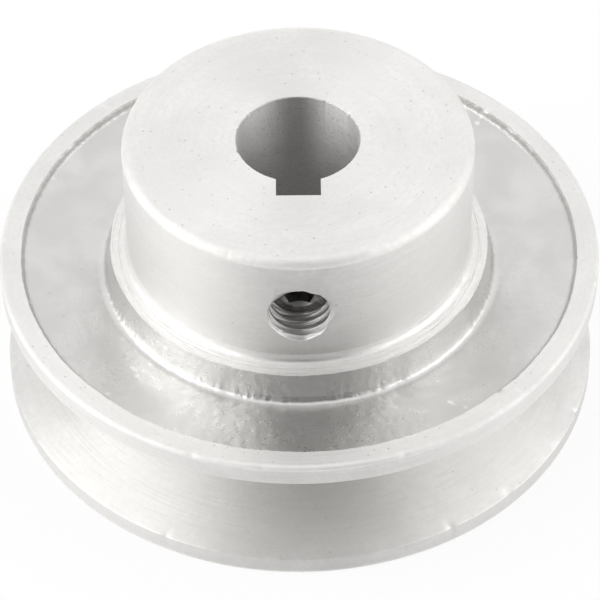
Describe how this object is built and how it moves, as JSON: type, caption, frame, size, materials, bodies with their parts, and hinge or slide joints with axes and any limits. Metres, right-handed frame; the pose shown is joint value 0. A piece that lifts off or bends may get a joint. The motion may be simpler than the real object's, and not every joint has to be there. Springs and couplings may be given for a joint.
{
  "type": "v belt pulley",
  "caption": "Single-groove V belt pulley turned from an aluminium casting, with a keyed bore and a set screw in the side of its long hub.",
  "frame": {"origin": "centre of the bore on the back face, which the pulley lies on", "axes": "+Z along the bore towards the hub's nose; the keyway and the set screw face -Y"},
  "size_m": [0.07, 0.07, 0.0345],
  "materials": {
    "cast_aluminium": "turned bright on the hub, rim and groove, as cast in the dish",
    "black_oxide_steel": "black oxide, lightly oiled"
  },
  "bodies": {
    "pulley": {"pulley_body": "cast_aluminium"},
    "set_screw": {"set_screw": "black_oxide_steel"}
  },
  "joints": [
    {"name": "set_screw_travel", "type": "slide", "parent": "pulley", "child": "set_screw", "axis": [0, 1, 0], "range_m": [-0.0075, 0.0025]}
  ]
}
